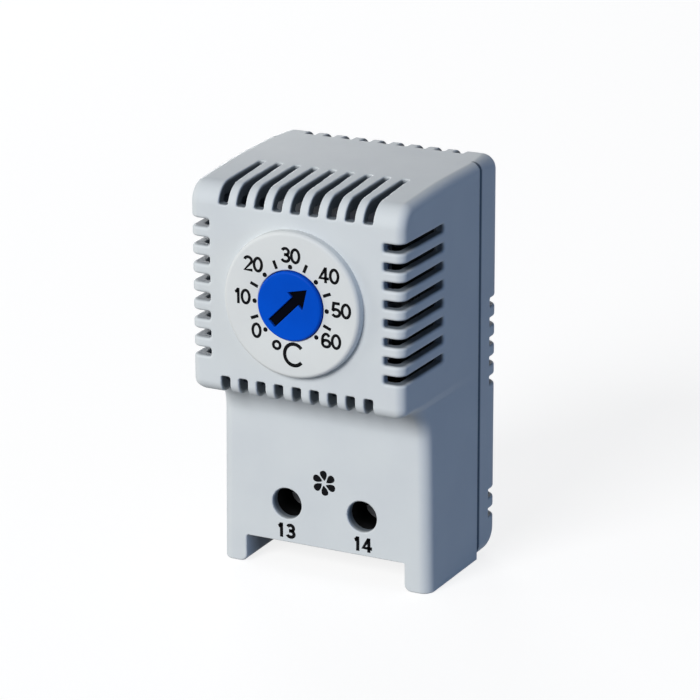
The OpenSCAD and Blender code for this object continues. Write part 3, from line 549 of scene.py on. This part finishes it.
material = {
    # The housing's inside colour is painted shade for its slot walls, hole walls and seam.
    "housing": moulded("housing_plastic", rgb(206, 211, 213), rgb(202, 207, 210), 0.55, specular=0.12,
                       inside=rgb(116, 124, 132)),
    "disc": moulded("disc_plastic", rgb(214, 217, 216), rgb(210, 213, 213), 0.5, 0.012, specular=0.12),
    "knob": moulded("knob_plastic", rgb(0, 79, 199), rgb(0, 73, 187), 0.45, 0.012, specular=0.05),
    "ink": moulded("print_ink", rgb(12, 13, 16), rgb(8, 9, 11), 0.6, 0.008, specular=0.05),
    "arrow": moulded("arrow_plastic", rgb(4, 5, 14), rgb(2, 3, 9), 0.55, 0.01, specular=0.02),
    "black": moulded("black_moulding", rgb(34, 35, 38), rgb(26, 27, 30), 0.5),
    # The carrier is black moulding, made darker still as painted shade deep in the driver holes.
    "carrier": moulded("carrier_moulding", rgb(12, 13, 15), rgb(8, 9, 10), 0.6, specular=0.15),
    "clip": moulded("clip_plastic", rgb(200, 205, 208), rgb(195, 200, 204), 0.5, specular=0.2),
    "ivory": moulded("ivory_moulding", rgb(232, 226, 206), rgb(224, 217, 196), 0.4),
    "ferrite": moulded("ferrite", rgb(62, 62, 66), rgb(44, 44, 48), 0.6, 0.03),
    "steel": metal("zinc_steel", rgb(196, 199, 204), rgb(164, 168, 174), 0.32),
    "dark_steel": metal("screw_steel", rgb(150, 152, 156), rgb(112, 114, 118), 0.34),
    "brass": metal("brass", rgb(222, 184, 106), rgb(190, 150, 78), 0.28),
    "bronze": metal("bronze", rgb(208, 146, 96), rgb(176, 118, 74), 0.3),
    "bimetal": metal("bimetal", rgb(190, 178, 168), rgb(160, 146, 134), 0.34),
    "silver": metal("silver", rgb(236, 236, 238), rgb(212, 212, 214), 0.22, (1, 1, 1)),
}

NODE_LOOKS = {
    "front_cover": "housing", "rear_base": "housing", "scale_disc": "disc", "adjustment_knob": "knob",
    "pointer_inlay": "arrow", "setting_spindle": "brass", "spindle_bush": "brass", "switch_frame": "steel",
    "frame_screws": "dark_steel", "setting_lever": "steel", "lever_pin": "dark_steel",
    "lever_spring": "steel",
    "bimetal_strip": "bimetal", "bimetal_rivets": "dark_steel", "push_button": "ivory",
    "contact_blade": "bronze", "blade_rivets": "brass", "moving_contact": "silver", "fixed_contact": "silver",
    "snap_magnet": "ferrite", "conductor_bar_13": "brass", "conductor_bar_14": "brass",
    "terminal_carrier": "carrier", "terminal_cage_13": "steel", "terminal_cage_14": "steel",
    "terminal_screw_13": "steel", "terminal_screw_14": "steel", "rail_foot": "clip",
    "foot_screws": "dark_steel", "rail_latch": "black", "latch_spring": "steel",
}


def paint_nodes():
    """Gives every solid its material."""
    for name, look in NODE_LOOKS.items():
        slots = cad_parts[name].data.materials
        slots.clear()
        slots.append(material[look])


def knob_field(p):
    """The knob's cap: a flat disc with a softened rim, and the arrow's recess."""
    x, y, z = p
    radius = np.hypot(x, z - DIAL_Z)
    cap = smooth_max(radius - KNOB_R, -KNOB_PROUD - y, 0.35)
    cap = np.maximum(cap, y - 2.0)
    flange = smooth_max(radius - KNOB_FLANGE_R, np.abs(y - 2.45) - 0.45, 0.15)
    boss = np.maximum(radius - KNOB_BOSS_R, np.abs(y - 5.8) - 3.8)
    body = np.minimum(np.minimum(cap, flange), boss)
    u, v = along_arrow(x, z)
    recess = np.maximum(arrow_field(u, np.abs(v)), y - (-KNOB_PROUD + ARROW_SUNK))
    square = np.maximum(np.maximum(np.abs(x), np.abs(z - DIAL_Z)) - SOCKET_HALF, 2.6 - y)
    body = smooth_max(body, -recess, 0.12)
    return np.maximum(body, -square)


def along_arrow(x, z):
    """Places along the pointer, which points up to the right at rest, and across it."""
    return (x + (z - DIAL_Z)) / math.sqrt(2), (x - (z - DIAL_Z)) / math.sqrt(2)


def arrow_field(u, v):
    """Distance to the pointer's outline, u along it and v across."""
    neck = ARROW_L / 2 - ARROW_HEAD_L
    shaft_end = neck + 0.5
    shaft = np.maximum(v - ARROW_SHAFT / 2, np.maximum(-ARROW_L / 2 - u, u - shaft_end))
    slope = math.hypot(ARROW_HEAD_L, ARROW_HEAD_W / 2)
    flank = ((u - ARROW_L / 2) * ARROW_HEAD_W / 2 + v * ARROW_HEAD_L) / slope
    head = np.maximum(flank, neck - u)
    return np.minimum(shaft, head)


def arrow_inlay_field(p):
    """The pointer: an inlay a little smaller than its recess, sunk below the knob's face."""
    x, y, z = p
    u, v = along_arrow(x, z)
    flat = arrow_field(u, np.abs(v)) + 0.04
    body = smooth_max(flat, -KNOB_PROUD + 0.3 - y, 0.12)
    return np.maximum(body, y + KNOB_PROUD - 0.88)


def make_knob():
    """Makes the knob and the pointer in it."""
    step = 0.08
    knob = from_field("blue_knob", knob_field, (-7.1, -2.3, 36.6), (7.1, 10.0, 50.8), step)
    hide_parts("adjustment_knob")
    knob.data.materials.append(material["knob"])
    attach(knob, "knob")
    inlay = from_field("arrow_inlay", arrow_inlay_field, (-3.4, -2.1, 40.3), (3.4, -0.5, 47.1), step * 0.6)
    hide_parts("pointer_inlay")
    inlay.data.materials.append(material["arrow"])
    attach(inlay, "knob")


def revolve(name, outline, segments=160):
    """Turns an outline of (radius, y) pairs round the dial's axis."""
    verts, faces = [], []
    n = len(outline)
    for i in range(segments):
        a = 2 * math.pi * i / segments
        for radius, y in outline:
            verts.append((radius * math.cos(a), y, DIAL_Z + radius * math.sin(a)))
    for i in range(segments):
        j = (i + 1) % segments
        for k in range(n):
            m = (k + 1) % n
            faces.append((i * n + k, i * n + m, j * n + m, j * n + k))
    obj = new_object(name, verts, faces)
    obj.data.shade_smooth()
    obj.data.set_sharp_from_angle(angle=math.radians(40))
    return obj


def disc_outline():
    """The scale disc's half section, with its rounded rim and bore edge."""
    bore, edge = KNOB_R + 0.1, 0.18
    points = [(bore, WALL), (bore, edge - DISC_T)]
    for i in range(1, 7):
        q = math.radians(15 * i)
        points.append((bore + edge * (1 - math.cos(q)), edge * (1 - math.sin(q)) - DISC_T))
    wide, high = 0.6, 0.6
    for i in range(25):
        q = math.pi / 2 * i / 24
        points.append((DISC_FOOT_R - wide * (1 - math.sin(q)), high * (1 - math.cos(q)) - DISC_T))
    points += [(DISC_FOOT_R + 0.02, 0.0), (bore + 1, 0.0), (bore + 1, WALL)]
    return points


def make_disc():
    """Makes the scale disc."""
    disc = revolve("scale_face", disc_outline())
    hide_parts("scale_disc")
    disc.data.materials.append(material["disc"])
    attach(disc, "housing")


# Printed marks stand out from their face by the first of these and reach into it by the second.
INK_T, INK_SUNK = 0.02, 0.01


def flat_print(name, loops, y):
    """Printed marks: each loop of (x, z) points becomes a thin raised layer of ink facing the front."""
    verts, faces = [], []
    for loop in loops:
        start = len(verts)
        n = len(loop)
        verts += [(x, y + INK_SUNK, z) for x, z in loop] + [(x, y - INK_T, z) for x, z in loop]
        front = [start + n + i for i in range(n)]
        back = [start + i for i in range(n)]
        area = sum(loop[i][0] * loop[(i + 1) % n][1] - loop[(i + 1) % n][0] * loop[i][1] for i in range(n))
        if area < 0:
            front.reverse()
        else:
            back.reverse()
        faces.append(front)
        faces.append(back)
        for i in range(n):
            j = (i + 1) % n
            side = (start + i, start + j, start + n + j, start + n + i)
            faces.append(side if area > 0 else side[::-1])
    obj = new_object(name, verts, faces)
    obj.data.materials.append(material["ink"])
    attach(obj, "housing")


def arc(x, z, half_w, half_h, start, end, n=18):
    """Points along part of an ellipse, with angles in degrees anticlockwise from its right."""
    turns = [math.radians(start + (end - start) * i / n) for i in range(n + 1)]
    return [(x + half_w * math.cos(a), z + half_h * math.sin(a)) for a in turns]


# Middle lines of the printed figures, in shares of their height, from a foot line at 0 to a cap line at 1.
FIGURE_SHARES = {
    "0": [arc(0, 0.5, 0.265, 0.415, 90, 450, 30)],
    "1": [[(-0.15, 0.74), (-0.02, 0.79), (0.04, 0.93)], [(0.075, 1.0), (0.075, 0.0)]],
    "2": [arc(0, 0.685, 0.25, 0.23, 165, -28) + [(-0.24, 0.085), (0.3, 0.085)]],
    "3": [arc(0, 0.715, 0.225, 0.2, 160, -90) + arc(0, 0.3, 0.26, 0.215, 90, -160)],
    "4": [[(0.1, 0.91), (-0.27, 0.29), (0.36, 0.29)], [(0.13, 1.0), (0.13, 0.0)]],
    "5": [[(0.26, 0.915), (-0.16, 0.915), (-0.21, 0.5)] + arc(0, 0.31, 0.26, 0.225, 132, -155)],
    "6": [arc(0, 0.3, 0.26, 0.215, 180, 540, 26), arc(0, 0.5, 0.26, 0.415, 38, 180) + [(-0.26, 0.3)]],
    "C": [arc(0, 0.5, 0.41, 0.435, 40, 320, 30)],
}
FIGURE_WIDTH = {"1": 0.5, "4": 0.76, "C": 0.9}


def ribbon(points, half):
    """The two edges of a line of even weight, with its corners mitred."""
    closed = math.dist(points[0], points[-1]) < 1e-6
    n = len(points)
    left, right = [], []
    for i, (x, z) in enumerate(points):
        before = points[i - 1] if i else (points[-2] if closed else None)
        after = points[i + 1] if i < n - 1 else (points[1] if closed else None)
        normals = []
        for (ax, az), (bx, bz) in ((before or (x, z), (x, z)), ((x, z), after or (x, z))):
            length = math.hypot(bx - ax, bz - az)
            if length:
                normals.append(((az - bz) / length, (bx - ax) / length))
        nx = sum(m[0] for m in normals) / len(normals)
        nz = sum(m[1] for m in normals) / len(normals)
        reach = half / max(nx * nx + nz * nz, 0.35)
        left.append((x + nx * reach, z + nz * reach))
        right.append((x - nx * reach, z - nz * reach))
    return left, right


def stroke(line, half, x, across, z, height, y):
    """One stroke of a figure as a thin raised ribbon, its faces counted from its own first point."""
    front, back = y - INK_T, y + INK_SUNK
    verts, faces = [], []
    for (lx, lz), (rx, rz) in zip(*ribbon(line, half)):
        for px, pz, depth in ((lx, lz, front), (rx, rz, front), (rx, rz, back), (lx, lz, back)):
            verts.append((x + (across + px) * height, depth, z + (pz - 0.5) * height))
    for i in range(len(line) - 1):
        a, b = 4 * i, 4 * i + 4
        for k in range(4):
            m = (k + 1) % 4
            faces.append((a + k, b + k, b + m, a + m))
    last = 4 * (len(line) - 1)
    faces.append((0, 1, 2, 3))
    faces.append((last + 3, last + 2, last + 1, last))
    return verts, faces


def figures(name, words, y):
    """Printed figures: each word is (text, x, z, height, weight), its weight a share of its height."""
    verts, faces = [], []
    for text, x, z, height, weight in words:
        widths = [FIGURE_WIDTH.get(c, 0.68) for c in text]
        cursor = -sum(widths) / 2
        for c, width in zip(text, widths):
            for line in FIGURE_SHARES[c]:
                points, sides = stroke(line, weight / 2, x, cursor + width / 2, z, height, y)
                faces += [tuple(len(verts) + k for k in side) for side in sides]
                verts += points
            cursor += width
    obj = new_object(name, verts, faces)
    obj.data.materials.append(material["ink"])
    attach(obj, "housing")


# Each coil spring: its node, its first end's middle, axis, length, mean radius, wire radius and turns.
SPRINGS = (
    ("lever_spring", (0, 12.13, 35.29), (0, 1, 0), 5.04, 1.4, 0.2, 5),
    ("latch_spring", (0, 32.7, 21.12), (0, 0, 1), 7.76, 0.75, 0.15, 9),
)


def coil(name, start, axis, length, radius, wire, turns, steps=40, sides=10, closed=0.8):
    """A compression spring whose first and last turns lie closed and flat."""
    along = Vector(axis)
    across = Vector((1, 0, 0))
    third = along.cross(across)
    rings = turns * steps
    verts, faces = [], []
    for i in range(rings + 1):
        turn = i / steps
        open_share = min(max((turn - closed) / (turns - 2 * closed), 0), 1)
        rise = wire + 2 * wire * (min(turn, closed) + max(turn - turns + closed, 0)) / closed
        rise += (length - 6 * wire) * open_share
        q = 2 * math.pi * turn
        out = math.cos(q) * across + math.sin(q) * third
        for j in range(sides):
            s = 2 * math.pi * j / sides
            lift = max(min(rise + wire * math.sin(s), length), 0)
            verts.append(Vector(start) + out * (radius + wire * math.cos(s)) + along * lift)
    for i in range(rings):
        for j in range(sides):
            a, b = i * sides + j, i * sides + (j + 1) % sides
            faces.append((a, b, b + sides, a + sides))
    faces.append(range(sides - 1, -1, -1))
    faces.append(range(rings * sides, (rings + 1) * sides))
    obj = new_object(name, verts, faces)
    obj.data.shade_smooth()
    return obj


def make_springs():
    """Makes both coil springs, and gives the lever's one a mesh of its own."""
    for node, start, axis, length, radius, wire, turns in SPRINGS:
        spring = coil(node + "_coil", start, axis, length, radius, wire, turns)
        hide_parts(node)
        spring.data.materials.append(material["steel"])
        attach(spring, "housing")
        if node == "lever_spring":
            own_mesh(spring)


def polar(r, degrees):
    """A place on the dial, with the angle clockwise from the top."""
    a = math.radians(degrees)
    return r * math.sin(a), DIAL_Z + r * math.cos(a)


def ring_loop(x, z, r, n=20):
    """A round dot's outline."""
    return [(x + r * math.cos(2 * math.pi * i / n), z + r * math.sin(2 * math.pi * i / n)) for i in range(n)]


def tick_loop(degrees, r0, r1, half):
    """A tick's outline, along the dial's radius."""
    a = math.radians(degrees)
    dx, dz = math.sin(a), math.cos(a)
    px, pz = dz * half, -dx * half
    return [
        (r0 * dx - px, DIAL_Z + r0 * dz - pz), (r0 * dx + px, DIAL_Z + r0 * dz + pz),
        (r1 * dx + px, DIAL_Z + r1 * dz + pz), (r1 * dx - px, DIAL_Z + r1 * dz - pz),
    ]


# The scale's words, each with the place of its middle from the dial's centre, right and up.
SCALE_WORDS = (
    ("0", -5.38, -4.28), ("10", -7.59, 0.4), ("20", -5.8, 5.3), ("30", 0.05, 7.27),
    ("40", 5.95, 5.18), ("50", 7.82, 0.42), ("60", 6.27, -4.2),
)


DOT_RING_R, DOT_R = 5.62, 0.34
TICK_FROM, TICK_TO, TICK_HALF = 5.5, 6.75, 0.23
SCALE_START, SCALE_STEP = -135, 45
SCALE_NUMBER_H, SCALE_NUMBER_WEIGHT = 2.25, 0.185


def make_scale():
    """Prints the scale's dots, ticks and numbers and the sign for degrees."""
    loops = []
    for k in range(7):
        x, z = polar(DOT_RING_R, SCALE_START + SCALE_STEP * k)
        loops.append(ring_loop(x, z, DOT_R))
    for k in range(6):
        loops.append(tick_loop(SCALE_START + SCALE_STEP * (k + 0.5), TICK_FROM, TICK_TO, TICK_HALF))
    face = -DISC_T
    flat_print("scale_marks", loops, face)
    words = []
    for text, right, up in SCALE_WORDS:
        words.append((text, right, DIAL_Z + up, SCALE_NUMBER_H, SCALE_NUMBER_WEIGHT))
    words.append(("C", 0.48, DIAL_Z - 7.03, 3.6, 0.145))
    figures("scale_numbers", words, face)
    degree = revolve_ring("degree_sign", -2.22, DIAL_Z - 5.97, 0.33, 0.75, face)
    degree.data.materials.append(material["ink"])
    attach(degree, "housing")


def revolve_ring(name, x, z, inner, outer, y, n=28):
    """A printed ring round a place on the face."""
    front, back = y - INK_T, y + INK_SUNK
    verts, faces = [], []
    for i in range(n):
        a = 2 * math.pi * i / n
        for r, depth in ((inner, back), (outer, back), (outer, front), (inner, front)):
            verts.append((x + r * math.cos(a), depth, z + r * math.sin(a)))
    for i in range(n):
        j = (i + 1) % n
        for k in range(4):
            m = (k + 1) % 4
            faces.append((i * 4 + k, i * 4 + m, j * 4 + m, j * 4 + k))
    return new_object(name, verts, faces)


def petal(turn, r0, r1, half):
    """One blade of the fan sign: a drop with its tip towards the hub, bent a little."""
    points = []
    for i in range(24):
        a = 2 * math.pi * i / 24
        out_share = (1 - math.cos(a)) / 2
        width = math.sin(a) * math.sin(a / 2)
        fullness = 1.7 if width > 0 else 1.15
        points.append((r0 + (r1 - r0) * out_share, fullness * half * width - 0.1 * (1 - out_share)))
    out = []
    for u, v in points:
        out.append((u * math.cos(turn) - v * math.sin(turn), u * math.sin(turn) + v * math.cos(turn)))
    return out


TERMINAL_NUMBER_Z, TERMINAL_NUMBER_H, TERMINAL_NUMBER_WEIGHT = 6.05, 2.2, 0.23
FAN_X, FAN_Z = 0.04, 14.37


def make_face_signs():
    """Prints the terminal numbers and the fan sign on the terminal face."""
    left = (("1", -DRIVER_X - 1.07), ("3", -DRIVER_X + 0.57))
    right = (("1", DRIVER_X - 0.82), ("4", DRIVER_X + 0.83))
    numbers = []
    for digit, x in left + right:
        numbers.append((digit, x, TERMINAL_NUMBER_Z, TERMINAL_NUMBER_H, TERMINAL_NUMBER_WEIGHT))
    figures("terminal_numbers", numbers, STEP)
    loops = []
    for k in range(6):
        blade = petal(math.radians(92 + 60 * k), 0.36, 1.9, 0.5)
        loops.append([(x + FAN_X, z + FAN_Z) for x, z in blade])
    flat_print("fan_sign", loops, STEP)


# Camera of the photograph: a perspective fitted to points on the housing.
YAW, PITCH, ROLL = math.radians(26.991), math.radians(18.4058), math.radians(-0.264)
FOCAL, SHIFT_X, SHIFT_Z, DISTANCE = 3396.29, -7.5738, 6.4564, 469.5003
PHOTO_WIDTH, SENSOR = 700, 36


def make_camera():
    """Sets up the photograph's camera."""
    look = Vector((-math.sin(YAW) * math.cos(PITCH), math.cos(YAW) * math.cos(PITCH), -math.sin(PITCH)))
    right = Vector((math.cos(YAW), math.sin(YAW), 0))
    up = right.cross(look)
    right2 = math.cos(ROLL) * right + math.sin(ROLL) * up
    up2 = -math.sin(ROLL) * right + math.cos(ROLL) * up
    place = -DISTANCE * look - SHIFT_X * right2 - SHIFT_Z * up2 + Vector((0, -MIDDLE, DIAL_Z))
    data = bpy.data.cameras.new("camera")
    data.sensor_width = SENSOR
    data.lens = FOCAL / PHOTO_WIDTH * SENSOR
    data.clip_start = 0.01
    data.clip_end = 20
    camera = bpy.data.objects.new("camera", data)
    rotation = Matrix((right2, up2, -look)).transposed()
    camera.matrix_world = Matrix.Translation(place * MM) @ rotation.to_4x4()
    bpy.context.scene.collection.objects.link(camera)
    bpy.context.scene.camera = camera


LIT_PLACE = (0, 0, 0.03)


def area_light(name, place, size, power, color=(1, 1, 1)):
    """A round lamp that points at the object."""
    data = bpy.data.lights.new(name, "AREA")
    data.shape = "DISK"
    data.size = size
    data.energy = power
    data.color = color
    lamp = bpy.data.objects.new(name, data)
    direction = Vector(LIT_PLACE) - Vector(place)
    lamp.matrix_world = Matrix.Translation(place) @ direction.to_track_quat("-Z", "Y").to_matrix().to_4x4()
    bpy.context.scene.collection.objects.link(lamp)


def seen_directly(nodes, links, path):
    """1 for rays from the camera, a mirror or glass, and 0 for those that light the object."""
    total = path.outputs["Is Camera Ray"]
    for name in ("Is Glossy Ray", "Is Transmission Ray"):
        add = nodes.new("ShaderNodeMath")
        add.operation = "MAXIMUM"
        links.new(total, add.inputs[0])
        links.new(path.outputs[name], add.inputs[1])
        total = add.outputs["Value"]
    return total


def make_world():
    """A white surrounding for the camera that lights the object only faintly, in blue."""
    world = bpy.data.worlds.new("studio")
    bpy.context.scene.world = world
    world.use_nodes = True
    nodes, links = world.node_tree.nodes, world.node_tree.links
    fill = nodes["Background"]
    fill.inputs["Color"].default_value = (0.5, 0.68, 1.0, 1)
    fill.inputs["Strength"].default_value = 0.07
    white = nodes.new("ShaderNodeBackground")
    white.inputs["Color"].default_value = (1, 1, 1, 1)
    white.inputs["Strength"].default_value = 1.0
    path = nodes.new("ShaderNodeLightPath")
    mix = nodes.new("ShaderNodeMixShader")
    links.new(seen_directly(nodes, links, path), mix.inputs["Fac"])
    links.new(fill.outputs["Background"], mix.inputs[1])
    links.new(white.outputs["Background"], mix.inputs[2])
    links.new(mix.outputs["Shader"], nodes["World Output"].inputs["Surface"])


def make_floor():
    """A paper floor that glows white for the camera and still takes a soft shadow."""
    mesh = bpy.data.meshes.new("floor")
    s = 1.5
    mesh.from_pydata([(-s, -s, 0), (s, -s, 0), (s, s, 0), (-s, s, 0)], [], [(0, 1, 2, 3)])
    floor = bpy.data.objects.new("floor", mesh)
    bpy.context.scene.collection.objects.link(floor)
    made, nodes, links, shader = node_material("floor_paper")
    shader.inputs["Base Color"].default_value = (0.25, 0.25, 0.25, 1)
    shader.inputs["Roughness"].default_value = 0.9
    shader.inputs["Specular IOR Level"].default_value = 0.1
    shader.inputs["Emission Color"].default_value = (1, 1, 1, 1)
    path = nodes.new("ShaderNodeLightPath")
    lift = nodes.new("ShaderNodeMath")
    lift.operation = "MULTIPLY"
    lift.inputs[1].default_value = 0.82
    links.new(seen_directly(nodes, links, path), lift.inputs[0])
    links.new(lift.outputs["Value"], shader.inputs["Emission Strength"])
    mesh.materials.append(made)


def make_studio():
    """Makes the surrounding, the floor and the four lamps."""
    make_world()
    make_floor()
    area_light("key", (-0.42, -2.04, 1.13), 1.1, 51.5)
    area_light("left", (-1.5, -0.7, 0.3), 0.6, 5)
    area_light("side", (1.1, -0.2, 0.03), 0.5, 3.8, (0.27, 0.52, 1.0))
    area_light("back", (-1.2, 1.6, 0.3), 0.8, 16)


bpy.context.scene.view_settings.view_transform = "Standard"
paint_nodes()
make_camera()
make_housing()
make_clip()
make_springs()
make_knob()
make_disc()
make_scale()
make_face_signs()
make_studio()
